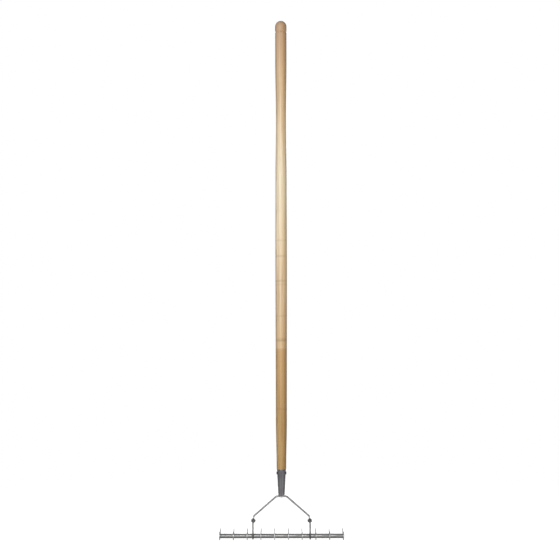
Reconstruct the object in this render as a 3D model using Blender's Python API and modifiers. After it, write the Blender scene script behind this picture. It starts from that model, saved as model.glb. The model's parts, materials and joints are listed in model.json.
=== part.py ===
"""Long-handled lawn scarifying rake: a turned ash handle in a steel socket, a bent wire bow, and a
head of ten sickle blades strung on a square rod between two hanging brackets.

Run it with blender --background --python part.py, or from Blender's text editor.

Frame, in metres: +Z runs up the handle, +X along the head, and +Y is the way the blades point. The
origin is on the handle's axis at its waist, where a rack's clip or the upper hand holds the rake.
Heights are worked out upwards from the line that the blades' lowest points touch.
"""

import math

import bmesh
import bpy
from mathutils import Vector

MM = 0.001

# Blades and the rod they are strung on
BLADE_COUNT = 10
BLADE_PITCH = 42.4 * MM
BLADE_THICKNESS = 2.2 * MM
BLADE_REACH = 51.5 * MM  # rod axis to blade tip, along +Y
TIP_HEIGHT = 12.7 * MM  # rod axis up to the tip
HUB_RADIUS = 13.0 * MM
BELLY_BELOW_HUB = 1.4 * MM  # how far the sickle's lowest point hangs below its hub
HOLLOW_REACH = 19.0 * MM  # rod axis to the deepest point of the inner edge, along +Y
HOLLOW_HEIGHT = 2.2 * MM  # that point's height above the rod's axis
HUB_FILLET = 8.0 * MM
ROD_SIDE = 7.0 * MM
ROD_HEAD_LIP = 0.55 * MM  # hammered head past the rod's corners
ROD_HEAD_RIM = 0.4 * MM
ROD_HEAD_DOME = 0.9 * MM
SPACER_WALL = 1.65 * MM

# Brackets, which hang the head from the bow
BRACKET_X = 88.1 * MM  # middle of the plate's thickness
BRACKET_THICKNESS = 4.0 * MM
BRACKET_CENTRES = 46.9 * MM  # pivot bolt to rod
BRACKET_TOP_RADIUS = 7.5 * MM
BRACKET_FOOT_RADIUS = 11.0 * MM

# Pivot bolts and nuts
BOLT_RADIUS = 2.5 * MM
BOLT_HEX = 8.0 * MM  # across flats, head and nut
BOLT_HEAD_HEIGHT = 3.0 * MM
BOLT_END = 0.5 * MM  # thread past the nut
NUT_HEIGHT = 2.7 * MM

# Wire bow
WIRE_RADIUS = 2.75 * MM
BOW_CORNER_INSET = 1.3 * MM  # wire's centreline inside the bracket's middle plane
BOW_CORNER_RISE = 12.9 * MM  # pivot bolt to the lower corner
BOW_RISE = 62.2 * MM  # lower corner to the crosspiece under the socket
BOW_TOP_HALF = 15.4 * MM  # socket axis to the upper corner
BOW_TOP_BEND = 8.0 * MM
BOW_LOW_BEND = 9.0 * MM
EYE_THICKNESS = 2.2 * MM
EYE_RADIUS = 6.2 * MM
TONGUE_WIDTH = 7.0 * MM
WELD_HALF_LENGTH = 8.0 * MM
WELD_RADIUS = 4.2 * MM

# Socket and its rivet
SOCKET_LENGTH = 80.8 * MM
SOCKET_TOP_RADIUS = 13.7 * MM
SOCKET_FOOT_RADIUS = 9.6 * MM
SOCKET_WALL = 1.6 * MM
SOCKET_FLOOR = 16.0 * MM
SOCKET_ROUND = 1.0 * MM
RIVET_BELOW_RIM = 12.0 * MM
RIVET_RADIUS = 2.5 * MM
RIVET_HEAD_RADIUS = 4.5 * MM
RIVET_HEAD_HEIGHT = 1.8 * MM

# Handle, whose lengths are measured from the socket's rim or from its top end
HANDLE_LENGTH = 1381.0 * MM  # above the rim
SHOULDER_RADIUS = 14.6 * MM
LOWER_TAPER_LENGTH = 152.0 * MM
LOWER_SHAFT_RADIUS = 16.9 * MM
BELLY_BELOW_TOP = 712.0 * MM
BELLY_RADIUS = 17.75 * MM
UPPER_SHAFT_BELOW_TOP = 490.0 * MM
UPPER_SHAFT_RADIUS = 17.2 * MM
WAIST_BELOW_TOP = 305.0 * MM
WAIST_RADIUS = 15.25 * MM
GRIP_BELOW_TOP = 122.0 * MM
GRIP_RADIUS = 17.35 * MM
GROOVE_BELOW_TOP = 34.5 * MM
GROOVE_HALF_WIDTH = 2.6 * MM
GROOVE_DEPTH = 1.6 * MM
END_RADIUS = 17.5 * MM

# Clearances
TOUCH = 0.3 * MM  # between faces that rest on each other
RUN = 0.3 * MM  # radial, around bolts, rivet and rod

# Facets
ROUND = 36
TUBE_ROUND = 28
SMALL_ROUND = 20
HANDLE_STEP = 36.0 * MM  # between rings along the swell
BALL_STEPS = 8
GROOVE_STEPS = 6
DOME_STEPS = 4
WELD_STEPS = 10
WIRE_ROUND = 3  # bevel resolution
ARC_STEP = math.radians(9)

# Worked out from the sizes above
BLADE_DROP = HUB_RADIUS + BELLY_BELOW_HUB
ROD_HEIGHT = BLADE_DROP
PIVOT_HEIGHT = ROD_HEIGHT + BRACKET_CENTRES
BOW_LOW_HEIGHT = PIVOT_HEIGHT + BOW_CORNER_RISE
BOW_TOP_HEIGHT = BOW_LOW_HEIGHT + BOW_RISE
SOCKET_FOOT_HEIGHT = BOW_TOP_HEIGHT + WIRE_RADIUS + TOUCH
RIM_HEIGHT = SOCKET_FOOT_HEIGHT + SOCKET_LENGTH
RIVET_HEIGHT = RIM_HEIGHT - RIVET_BELOW_RIM
TOP_HEIGHT = RIM_HEIGHT + HANDLE_LENGTH
WAIST_HEIGHT = TOP_HEIGHT - WAIST_BELOW_TOP
BRACKET_OUTER_X = BRACKET_X + BRACKET_THICKNESS / 2
BRACKET_INNER_X = BRACKET_X - BRACKET_THICKNESS / 2
EYE_X = BRACKET_INNER_X - TOUCH - EYE_THICKNESS / 2
NUT_X = EYE_X - EYE_THICKNESS / 2 - TOUCH - NUT_HEIGHT / 2
WIRE_X = BRACKET_X - BOW_CORNER_INSET
ROD_CORNER = ROD_SIDE / math.sqrt(2)  # rod axis to the rod's corners
ROD_HEAD_RADIUS = ROD_CORNER + ROD_HEAD_LIP
SPACER_BORE = ROD_CORNER + RUN
SPACER_RADIUS = SPACER_BORE + SPACER_WALL
ACROSS_CORNERS = 2 / math.sqrt(3)  # hexagon, of its size across flats

# A flat outline drawn in X and Y stands in the Y-Z plane, with its thickness along X
STAND_IN_YZ = (math.radians(90), 0, math.radians(90))
ALONG_X = (0, math.radians(90), 0)


# Scene, materials and small helpers


def clear_scene():
    for obj in list(bpy.data.objects):
        bpy.data.objects.remove(obj)


def new_collection(name):
    made = bpy.data.collections.new(name)
    bpy.context.scene.collection.children.link(made)
    return made


def new_material(name, colour, roughness, metallic):
    made = bpy.data.materials.new(name)
    made.use_nodes = True
    shader = made.node_tree.nodes["Principled BSDF"]
    shader.inputs["Base Color"].default_value = (*colour, 1.0)
    shader.inputs["Roughness"].default_value = roughness
    shader.inputs["Metallic"].default_value = metallic
    return made


def add(name, data, parent, location=(0, 0, 0), rotation=(0, 0, 0), material=None):
    """A new node with this mesh or curve, placed under an empty."""
    obj = bpy.data.objects.new(name, data)
    RAKE.objects.link(obj)
    obj.parent = parent
    obj.location = location
    obj.rotation_euler = rotation
    if material:
        data.materials.append(material)
    return obj


def as_tool(obj):
    """Turns an object into a helper for Booleans, which isn't a part of the rake."""
    RAKE.objects.unlink(obj)
    TOOLS.objects.link(obj)
    obj.hide_render = True
    obj.display_type = "WIRE"
    return obj


def boolean(obj, tool, operation):
    modifier = obj.modifiers.new(tool.name, "BOOLEAN")
    modifier.operation = operation
    modifier.object = as_tool(tool)


def arc(centre, radius, start, end):
    """Points on an arc from one angle to another, both ends included."""
    steps = max(2, math.ceil(abs(end - start) / ARC_STEP))
    angles = [start + (end - start) * i / steps for i in range(steps + 1)]
    return [centre + radius * Vector((math.cos(a), math.sin(a))) for a in angles]


def corners(radius, count, turn=0, centre=(0, 0)):
    """A regular outline's corners, the first of them turned by this angle from +X."""
    angles = [turn + 2 * math.pi * i / count for i in range(count)]
    return [Vector(centre) + radius * Vector((math.cos(a), math.sin(a))) for a in angles]


def square(side, centre=(0, 0)):
    return corners(side / math.sqrt(2), 4, math.radians(45), centre)


def hexagon(across_flats):
    return corners(across_flats * ACROSS_CORNERS / 2, 6)


def angle_of(vector):
    return math.atan2(vector.y, vector.x)


def plate(name, outlines, thickness, parent, location, rotation, material):
    """A flat piece: the first outline is its edge and the others are holes through it."""
    curve = bpy.data.curves.new(name, "CURVE")
    curve.dimensions = "2D"
    curve.fill_mode = "BOTH"
    curve.extrude = thickness / 2
    for points in outlines:
        spline = curve.splines.new("POLY")
        spline.points.add(len(points) - 1)
        for point, place in zip(spline.points, points):
            point.co = (place.x, place.y, 0, 1)
        spline.use_cyclic_u = True
    return add(name, curve, parent, location, rotation, material)


def turned(name, profile, steps, parent, location, rotation, material):
    """A piece turned about its own Z axis. The profile holds (radius, height), outer side downwards."""
    mesh = bpy.data.meshes.new(name)
    edges = [(i, i + 1) for i in range(len(profile) - 1)]
    mesh.from_pydata([(r, 0, z) for r, z in profile], edges, [])
    obj = add(name, mesh, parent, location, rotation, material)
    screw = obj.modifiers.new("turn", "SCREW")
    screw.steps = screw.render_steps = steps
    screw.use_merge_vertices = True
    screw.merge_threshold = 1e-6
    return obj


def mesh_of(curve_object):
    """A curve object remade as a mesh object with its caps joined on, so that Booleans can use it."""
    graph = bpy.context.evaluated_depsgraph_get()
    mesh = bpy.data.meshes.new_from_object(curve_object.evaluated_get(graph))
    work = bmesh.new()
    work.from_mesh(mesh)
    bmesh.ops.remove_doubles(work, verts=work.verts, dist=1e-6)
    bmesh.ops.recalc_face_normals(work, faces=work.faces)
    work.to_mesh(mesh)
    work.free()
    name, parent = curve_object.name, curve_object.parent
    location, rotation = curve_object.location.copy(), curve_object.rotation_euler.copy()
    bpy.data.objects.remove(curve_object)
    return add(name, mesh, parent, location, rotation)


# Handle


def eased(share):
    return share * share * (3 - 2 * share)


def swell_at(below_top):
    """The handle's radius at this distance below its top, easing from one named diameter to the next."""
    stations = [
        (GROOVE_BELOW_TOP, GRIP_RADIUS),
        (GRIP_BELOW_TOP, GRIP_RADIUS),
        (WAIST_BELOW_TOP, WAIST_RADIUS),
        (UPPER_SHAFT_BELOW_TOP, UPPER_SHAFT_RADIUS),
        (BELLY_BELOW_TOP, BELLY_RADIUS),
        (HANDLE_LENGTH - LOWER_TAPER_LENGTH, LOWER_SHAFT_RADIUS),
        (HANDLE_LENGTH, SHOULDER_RADIUS),
    ]
    for (start, first), (end, last) in zip(stations, stations[1:]):
        if below_top <= end:
            return first + (last - first) * eased((below_top - start) / (end - start))
    return SHOULDER_RADIUS


def handle_profile():
    """From the top's centre, down the outside, to the middle of the end inside the socket."""
    profile = []
    for i in range(BALL_STEPS + 1):
        angle = math.radians(90) * i / BALL_STEPS
        profile.append((END_RADIUS * math.sin(angle), TOP_HEIGHT - END_RADIUS * (1 - math.cos(angle))))
    for i in range(GROOVE_STEPS + 1):
        share = i / GROOVE_STEPS
        below = GROOVE_BELOW_TOP + GROOVE_HALF_WIDTH * (2 * share - 1)
        dip = GROOVE_DEPTH * math.sin(math.pi * share)
        edge = END_RADIUS + (GRIP_RADIUS - END_RADIUS) * share
        profile.append((edge - dip, TOP_HEIGHT - below))
    below = GRIP_BELOW_TOP
    while below < HANDLE_LENGTH - HANDLE_STEP / 2:
        profile.append((swell_at(below), TOP_HEIGHT - below))
        below += HANDLE_STEP
    profile.append((SHOULDER_RADIUS, RIM_HEIGHT + TOUCH))
    spigot_top = bore_radius_at(RIM_HEIGHT) - RUN
    spigot_foot_height = SOCKET_FOOT_HEIGHT + SOCKET_FLOOR + TOUCH
    profile.append((spigot_top, RIM_HEIGHT + TOUCH))
    profile.append((bore_radius_at(spigot_foot_height) - RUN, spigot_foot_height))
    profile.append((0, spigot_foot_height))
    return profile


def make_handle():
    handle = turned("handle", handle_profile(), ROUND, GROUND, (0, 0, 0), (0, 0, 0), ASH)
    boolean(handle, rivet_drill("handle_drill"), "DIFFERENCE")


# Socket and rivet


def socket_radius_at(height):
    share = (height - SOCKET_FOOT_HEIGHT) / SOCKET_LENGTH
    return SOCKET_FOOT_RADIUS + (SOCKET_TOP_RADIUS - SOCKET_FOOT_RADIUS) * share


def bore_radius_at(height):
    return socket_radius_at(height) - SOCKET_WALL


def rivet_drill(name):
    length = 4 * SOCKET_TOP_RADIUS
    drill = plate(
        name,
        [corners(RIVET_RADIUS + RUN, SMALL_ROUND)],
        length,
        GROUND,
        (0, 0, RIVET_HEIGHT),
        STAND_IN_YZ,
        None,
    )
    return mesh_of(drill)


def make_socket():
    floor = SOCKET_FOOT_HEIGHT + SOCKET_FLOOR
    foot = SOCKET_FOOT_HEIGHT
    profile = [
        (0, floor),
        (bore_radius_at(floor), floor),
        (bore_radius_at(RIM_HEIGHT), RIM_HEIGHT),
        (SOCKET_TOP_RADIUS, RIM_HEIGHT),
        (socket_radius_at(foot + SOCKET_ROUND), foot + SOCKET_ROUND),
        (SOCKET_FOOT_RADIUS - SOCKET_ROUND, foot),
        (0, foot),
    ]
    socket = turned("socket", profile, ROUND, GROUND, (0, 0, 0), (0, 0, 0), GREY_PAINT)
    boolean(socket, rivet_drill("socket_drill"), "DIFFERENCE")


def dome(radius, height, base):
    """Profile of a low round head, from its crown down to its rim, on a base at this height."""
    sphere = (radius * radius + height * height) / (2 * height)
    half = math.asin(min(1.0, radius / sphere))
    angles = [half * i / DOME_STEPS for i in range(DOME_STEPS + 1)]
    return [(sphere * math.sin(a), base + height - sphere * (1 - math.cos(a))) for a in angles]


def make_rivet():
    """Its heads clear the socket's widest point under them."""
    wall = socket_radius_at(RIVET_HEIGHT + RIVET_HEAD_RADIUS) + TOUCH
    top = dome(RIVET_HEAD_RADIUS, RIVET_HEAD_HEIGHT, wall)
    half = top + [(RIVET_RADIUS, wall)]
    profile = half + [(r, -z) for r, z in reversed(half)]
    place = (0, 0, RIVET_HEIGHT)
    turned("socket_rivet", profile, SMALL_ROUND, GROUND, place, ALONG_X, ZINC)


# Bow: one bent wire with flattened eyes, welded under the socket


def bend(before, corner, after, radius):
    """Points round a corner of a path, on an arc of this radius."""
    inward = (before - corner).normalized()
    outward = (after - corner).normalized()
    half = inward.angle(outward) / 2
    reach = radius / math.tan(half)
    middle = (inward + outward).normalized()
    centre = corner + middle * (radius / math.sin(half))
    first = corner + inward * reach - centre
    last = corner + outward * reach - centre
    turn = first.angle_signed(last)
    steps = max(2, math.ceil(abs(turn) / ARC_STEP))
    start = angle_of(first)
    angles = [start - turn * i / steps for i in range(steps + 1)]
    return [centre + radius * Vector((math.cos(a), math.sin(a))) for a in angles]


def bow_path():
    """Centreline in X and Z, from the left foot of the wire over the top to the right foot."""
    foot = PIVOT_HEIGHT + BRACKET_TOP_RADIUS + TOUCH
    right = [
        Vector((0, BOW_TOP_HEIGHT)),
        Vector((BOW_TOP_HALF, BOW_TOP_HEIGHT)),
        Vector((WIRE_X, BOW_LOW_HEIGHT)),
        Vector((WIRE_X, foot)),
    ]
    half = bend(right[0], right[1], right[2], BOW_TOP_BEND)
    half += bend(right[1], right[2], right[3], BOW_LOW_BEND)
    half.append(right[3])
    return [Vector((-p.x, p.y)) for p in reversed(half)] + half


def eye_plate(side, name):
    """A flattened eye round the pivot bolt, with the tongue that joins it to the wire above."""
    top = BRACKET_TOP_RADIUS + TOUCH + 2 * WIRE_RADIUS
    lean = math.asin(TONGUE_WIDTH / 2 / EYE_RADIUS)
    ring = arc(Vector((0, 0)), EYE_RADIUS, math.radians(90) + lean, math.radians(450) - lean)
    outline = ring + [Vector((TONGUE_WIDTH / 2, top)), Vector((-TONGUE_WIDTH / 2, top))]
    hole = corners(BOLT_RADIUS + RUN, SMALL_ROUND)
    place = (side * EYE_X, 0, PIVOT_HEIGHT)
    return plate(name, [outline, hole], EYE_THICKNESS, GROUND, place, STAND_IN_YZ, None)


def make_bow():
    curve = bpy.data.curves.new("bow", "CURVE")
    curve.dimensions = "3D"
    curve.bevel_depth = WIRE_RADIUS
    curve.bevel_resolution = WIRE_ROUND
    curve.use_fill_caps = True
    points = bow_path()
    spline = curve.splines.new("POLY")
    spline.points.add(len(points) - 1)
    for point, place in zip(spline.points, points):
        point.co = (place.x, 0, place.y, 1)
    bow = mesh_of(add("bow", curve, GROUND))
    bow.data.materials.append(ZINC)
    for side, word in SIDES:
        boolean(bow, mesh_of(eye_plate(side, f"eye_{word}")), "UNION")
    turns = [math.pi * i / WELD_STEPS for i in range(1, WELD_STEPS)]
    bead = [(WELD_RADIUS * math.sin(t), WELD_HALF_LENGTH * math.cos(t)) for t in turns]
    bead = [(0, WELD_HALF_LENGTH)] + bead + [(0, -WELD_HALF_LENGTH)]
    place = (0, 0, BOW_TOP_HEIGHT + WIRE_RADIUS - WELD_RADIUS)
    weld = turned("weld", bead, SMALL_ROUND, GROUND, place, ALONG_X, None)
    boolean(bow, weld, "UNION")


# Pivot bolts and nuts


def make_bolt(side, word):
    """The shank runs along X from under the head, outside the bracket, to just past the nut."""
    seat = BRACKET_OUTER_X + TOUCH
    end = NUT_X - NUT_HEIGHT / 2 - BOLT_END
    middle = seat + BOLT_HEAD_HEIGHT / 2
    head = plate(
        f"pivot_bolt_{word}",
        [hexagon(BOLT_HEX)],
        BOLT_HEAD_HEIGHT,
        GROUND,
        (side * middle, 0, PIVOT_HEIGHT),
        STAND_IN_YZ,
        None,
    )
    bolt = mesh_of(head)
    bolt.data.materials.append(DARK_ZINC)
    sunk = BOLT_HEAD_HEIGHT / 2
    shank = plate(
        f"shank_{word}",
        [corners(BOLT_RADIUS, SMALL_ROUND)],
        seat + sunk - end,
        GROUND,
        (side * (seat + sunk + end) / 2, 0, PIVOT_HEIGHT),
        STAND_IN_YZ,
        None,
    )
    boolean(bolt, mesh_of(shank), "UNION")


def make_nut(side, word):
    outlines = [hexagon(BOLT_HEX), corners(BOLT_RADIUS + RUN, SMALL_ROUND)]
    place = (side * NUT_X, 0, PIVOT_HEIGHT)
    plate(f"pivot_nut_{word}", outlines, NUT_HEIGHT, GROUND, place, STAND_IN_YZ, DARK_ZINC)


# Head: brackets, rod, blades and spacers


def make_bracket(side, word):
    """A link with a large foot round the rod and a small top round the pivot bolt."""
    foot = Vector((0, -BRACKET_CENTRES))
    lean = math.asin((BRACKET_FOOT_RADIUS - BRACKET_TOP_RADIUS) / BRACKET_CENTRES)
    top = arc(Vector((0, 0)), BRACKET_TOP_RADIUS, lean, math.pi - lean)
    low = arc(foot, BRACKET_FOOT_RADIUS, math.pi - lean, 2 * math.pi + lean)
    outlines = [
        top + low,
        corners(BOLT_RADIUS + RUN, SMALL_ROUND),
        square(ROD_SIDE + 2 * RUN, foot),
    ]
    place = (side * BRACKET_X, 0, 0)
    plate(f"bracket_{word}", outlines, BRACKET_THICKNESS, PIVOT, place, STAND_IN_YZ, ZINC)


def meeting_point(first, first_radius, second, second_radius):
    """Where two circles cross, on the right of the way from the first centre to the second."""
    apart = second - first
    along = (apart.length_squared + first_radius**2 - second_radius**2) / (2 * apart.length)
    across = math.sqrt(first_radius**2 - along**2)
    way = apart.normalized()
    return first + way * along + Vector((way.y, -way.x)) * across


def sweep_circle(tip):
    """Centre and radius of the outer edge, which touches the hub from outside, is lowest at the blade's
    lowest point, and ends at the tip. The three conditions leave a quadratic in the centre's reach.
    """
    rise = tip.y + BLADE_DROP
    below_hub = HUB_RADIUS + BLADE_DROP
    square_term = 1 - rise / BELLY_BELOW_HUB
    constant = tip.x**2 + rise**2 - below_hub * rise
    root = math.sqrt(tip.x**2 - square_term * constant)
    reach = (tip.x - root) / square_term
    radius = (reach**2 / BELLY_BELOW_HUB + below_hub) / 2
    return Vector((reach, radius - BLADE_DROP)), radius


def blade_outline():
    """The sickle's edge, seen along X with the rod's axis at the middle of the hub.

    The outer sweep leaves the hub smoothly, the hollow inner edge meets it at the tip, and a fillet
    joins the hollow to the top of the hub.
    """
    hub = Vector((0, 0))
    tip = Vector((BLADE_REACH, TIP_HEIGHT))
    sweep, sweep_radius = sweep_circle(tip)
    run = tip.x - HOLLOW_REACH
    rise = tip.y - HOLLOW_HEIGHT
    hollow_radius = (run * run + rise * rise) / (2 * rise)
    hollow = Vector((HOLLOW_REACH, HOLLOW_HEIGHT + hollow_radius))
    fillet = meeting_point(hub, HUB_RADIUS + HUB_FILLET, hollow, hollow_radius - HUB_FILLET)
    outer = arc(sweep, sweep_radius, angle_of(-sweep), angle_of(tip - sweep))
    inner = arc(hollow, hollow_radius, angle_of(tip - hollow), angle_of(fillet - hollow))
    hub_join = angle_of(fillet - hub)
    full = 2 * math.pi
    corner = arc(fillet, HUB_FILLET, angle_of(fillet - hollow) % full - full, hub_join - math.pi)
    around = arc(hub, HUB_RADIUS, hub_join, angle_of(-sweep) + full)
    return outer + inner[1:] + corner[1:] + around[1:-1]


def make_head():
    """Blades and brackets share the rod, and a spacer tube fills each stretch between two of them."""
    rod = Vector((0, 0, -BRACKET_CENTRES))
    outline = blade_outline()
    bore = square(ROD_SIDE + 2 * RUN)
    stack = [(side * BRACKET_X, BRACKET_THICKNESS) for side, word in SIDES]
    for i in range(BLADE_COUNT):
        x = (i - (BLADE_COUNT - 1) / 2) * BLADE_PITCH
        place = rod + Vector((x, 0, 0))
        name = f"blade_{i + 1:02d}"
        plate(name, [outline, bore], BLADE_THICKNESS, PIVOT, place, STAND_IN_YZ, STAINLESS)
        stack.append((x, BLADE_THICKNESS))
    stack.sort()
    rings = [corners(SPACER_RADIUS, TUBE_ROUND), corners(SPACER_BORE, TUBE_ROUND)]
    for i, (left, right) in enumerate(zip(stack, stack[1:])):
        start = left[0] + left[1] / 2 + TOUCH
        end = right[0] - right[1] / 2 - TOUCH
        place = rod + Vector(((start + end) / 2, 0, 0))
        plate(f"spacer_{i + 1:02d}", rings, end - start, PIVOT, place, STAND_IN_YZ, ZINC)
    make_rod(rod, stack[-1][0] + stack[-1][1] / 2 + TOUCH)


def make_rod(place, seat):
    """A square bar whose ends are hammered into round heads over the outermost blades."""
    length = 2 * seat + ROD_HEAD_RIM  # half a rim into each head
    bar = mesh_of(plate("head_rod", [square(ROD_SIDE)], length, PIVOT, place, STAND_IN_YZ, None))
    bar.data.materials.append(ZINC)
    for side, word in SIDES:
        profile = dome(ROD_HEAD_RADIUS, ROD_HEAD_DOME, seat + ROD_HEAD_RIM)
        profile += [(ROD_HEAD_RADIUS, seat), (0, seat)]
        turn = (0, side * math.radians(90), 0)
        head = turned(f"rod_end_{word}", profile, SMALL_ROUND, PIVOT, place, turn, None)
        boolean(bar, head, "UNION")


clear_scene()
RAKE = new_collection("scarifying_rake")
TOOLS = new_collection("tools")
SIDES = ((-1, "left"), (1, "right"))

ASH = new_material("ash", (0.66, 0.49, 0.31), 0.5, 0.0)
GREY_PAINT = new_material("grey_paint", (0.16, 0.155, 0.155), 0.5, 0.3)
ZINC = new_material("bright_zinc", (0.55, 0.56, 0.56), 0.35, 1.0)
DARK_ZINC = new_material("dark_zinc", (0.22, 0.22, 0.22), 0.45, 1.0)
STAINLESS = new_material("stainless", (0.62, 0.62, 0.61), 0.3, 1.0)

GROUND = add("ground_line", None, None, (0, 0, -WAIST_HEIGHT))
PIVOT = add("head_pivot", None, GROUND, (0, 0, PIVOT_HEIGHT))

make_handle()
make_socket()
make_rivet()
make_bow()
for side, word in SIDES:
    make_bolt(side, word)
    make_nut(side, word)
    make_bracket(side, word)
make_head()
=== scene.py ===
"""Looks of the long-handled scarifying rake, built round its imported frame.

Every piece is made in the frame's own coordinates, in metres: +Z up the handle, +X along the head and
+Y the way the blades point. Places come from the frame's boxes; the constants below are only for shapes
that a box can't tell.
"""

import json
import math

import bmesh
import bpy
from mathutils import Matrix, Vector, noise


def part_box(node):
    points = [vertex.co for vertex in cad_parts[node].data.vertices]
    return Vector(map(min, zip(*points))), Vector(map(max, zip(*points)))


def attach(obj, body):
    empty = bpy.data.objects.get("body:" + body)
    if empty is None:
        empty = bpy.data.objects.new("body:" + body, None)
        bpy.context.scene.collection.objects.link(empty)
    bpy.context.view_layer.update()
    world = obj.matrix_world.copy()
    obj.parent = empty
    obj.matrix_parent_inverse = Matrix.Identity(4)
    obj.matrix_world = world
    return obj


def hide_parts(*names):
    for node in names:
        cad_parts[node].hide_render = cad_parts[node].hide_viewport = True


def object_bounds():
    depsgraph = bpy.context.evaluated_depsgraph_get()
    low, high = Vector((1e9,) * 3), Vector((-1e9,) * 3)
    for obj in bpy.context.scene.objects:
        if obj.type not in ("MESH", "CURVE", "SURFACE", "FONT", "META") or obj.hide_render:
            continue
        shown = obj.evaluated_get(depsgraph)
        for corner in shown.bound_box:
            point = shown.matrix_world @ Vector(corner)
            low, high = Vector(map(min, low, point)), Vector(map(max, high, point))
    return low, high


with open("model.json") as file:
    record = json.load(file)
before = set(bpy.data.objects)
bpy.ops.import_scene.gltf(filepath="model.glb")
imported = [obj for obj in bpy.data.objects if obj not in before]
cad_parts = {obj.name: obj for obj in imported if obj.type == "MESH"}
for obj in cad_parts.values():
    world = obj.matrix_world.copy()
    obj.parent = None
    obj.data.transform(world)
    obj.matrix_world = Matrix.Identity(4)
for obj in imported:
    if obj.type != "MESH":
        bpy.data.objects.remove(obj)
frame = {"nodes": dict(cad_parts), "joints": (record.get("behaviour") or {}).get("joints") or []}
CAD_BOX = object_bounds()

MM = 0.001
ROOT = "handle_and_bow"
HEAD = "head"
SIDES = ((-1, "left"), (1, "right"))
SHARP = math.radians(35)

# Shapes that boxes can't tell
GROOVE_BELOW_TOP = 34.5 * MM
GROOVE_HALF_WIDTH = 2.6 * MM
WIRE_RADIUS = 2.75 * MM
BOW_TOP_HALF = 15.4 * MM
BOW_CORNER_RISE = 12.9 * MM
BOW_TOP_BEND = 8.0 * MM
BOW_LOW_BEND = 9.0 * MM
TONGUE_HALF_WIDTH = 3.6 * MM
FLATTENED_OVER = 9.0 * MM
HOLE_CLEARANCE = 0.3 * MM
EYE_CLEARANCE = 0.15 * MM
SEAT_GAP = 0.3 * MM  # under the bolts' heads and the rod's
WELD_HALF_LENGTH = 8.0 * MM
WELD_RADIUS = 3.3 * MM
WELD_RIPPLE = 0.32 * MM
BRACKET_ROUNDING = 0.5 * MM
TIP_RISE = 12.7 * MM
HOLLOW_REACH = 19.0 * MM
HOLLOW_RISE = 2.2 * MM
HUB_FILLET = 8.0 * MM
GRIND_WIDTH = 2.0 * MM
GROUND_EDGE_HALF = 0.9 * MM
BLADE_CHAMFER = 0.25 * MM
ROD_SIDE = 7.0 * MM
SPACER_WALL = 1.65 * MM
BOLT_RADIUS = 2.5 * MM
BOLT_HEX = 8.0 * MM
HEX_FACE = 0.94  # width of the round face inside a hexagon's chamfer, as a share of the hexagon's
THREAD_INSIDE_NUT = 2.6 * MM
THREAD_PITCH = 0.8 * MM
THREAD_DEPTH = 0.45 * MM
SOCKET_WALL = 1.6 * MM
RIVET_HEAD_RADIUS = 4.5 * MM
RIVET_RADIUS = 2.5 * MM

# The room that the rake mirrors, where 1 is the white behind the rake
ROOM_FRONT = 0.40
ROOM_ABOVE = 0.44
ROOM_SIDES = 0.15
ROOM_BELOW = 0.75  # share of the front's
ROOM_BACK = 0.55  # share of the front's
ROOM_DIFFUSE = 0.2  # share of the room's light that falls on the rake
HORIZON = 1.5
HORIZON_Z = 0.12  # where the bright strip is, from -1 straight down to 1 straight up
FLOOR_GLOW = 0.55
SIDE_GLOW = 0.35

# Panels of light: their width and height, and how bright each is
TALL_PANEL = (0.9, 1.6)
SIDE_PANEL = (0.8, 1.4)
SHINE_PANEL = (1.0, 0.55)
KEY = 15.6
BACK_KEY = 9.0
SIDE_FILL = 2.0
SHINE = 2.6
BACK_SHINE = 2.5

# Floor and camera
FLOOR_RADIUS = 1.5
FLOOR_FADES_FROM = 0.15
FLOOR_BRIGHTNESS = 0.75
CAMERA_DISTANCE = 3.5
CAMERA_HEIGHT = 0.803
CAMERA_X = -0.0036
CAMERA_ROLL = math.radians(0.085)
CAMERA_LENS = 73.0
CAMERA_SENSOR = 36.0

# Places, from the frame
HANDLE_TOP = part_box("handle")[1]
SOCKET_FOOT, SOCKET_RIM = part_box("socket")
BOW_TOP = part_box("bow")[1]
SPACER_LOW, SPACER_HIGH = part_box("spacer_01")
ROD_Z = (SPACER_LOW.z + SPACER_HIGH.z) / 2
SPACER_RADIUS = (SPACER_HIGH.z - SPACER_LOW.z) / 2
PIVOT_Z = frame["joints"][0]["pos_m"][2]
RIVET_LOW, RIVET_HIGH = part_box("socket_rivet")
RIVET_Z = (RIVET_LOW.z + RIVET_HIGH.z) / 2
HEIGHT = CAD_BOX[1].z - CAD_BOX[0].z


# Mesh helpers


def add_piece(name, work, materials, slot, body, *nodes):
    """Makes a piece of a bmesh, which rides on a body and stands for these CAD nodes."""
    bmesh.ops.recalc_face_normals(work, faces=work.faces)
    mesh = bpy.data.meshes.new(name)
    work.to_mesh(mesh)
    work.free()
    mesh.shade_smooth()
    mesh.set_sharp_from_angle(angle=SHARP)
    for material in materials:
        mesh.materials.append(material)
    obj = bpy.data.objects.new(name, mesh)
    bpy.context.scene.collection.objects.link(obj)
    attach(obj, body)
    if nodes:
        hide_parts(*nodes)
    return obj


def flat_shaded_faces(obj):
    """Keeps flat faces flat next to narrow rounded edges."""
    modifier = obj.modifiers.new("normals", "WEIGHTED_NORMAL")
    modifier.keep_sharp = True


def about_z(radius, angle, along):
    """Turning about the handle's axis."""
    return Vector((radius * math.cos(angle), radius * math.sin(angle), along))


def about_x(z, side=1):
    """Turning about a line along X at this height, mirrored to the other side by -1."""

    def place(radius, angle, along):
        return Vector((side * along, radius * math.cos(angle), z + radius * math.sin(angle)))

    return place


def join_rings(work, rings):
    """Faces between neighbouring rings, where a ring of one vertex is a pole."""
    for ring, following in zip(rings, rings[1:]):
        count = max(len(ring), len(following))
        for i in range(count):
            corners = [ring[i % len(ring)], ring[(i + 1) % len(ring)]]
            corners += [following[(i + 1) % len(following)], following[i % len(following)]]
            work.faces.new(list(dict.fromkeys(corners)))


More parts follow.
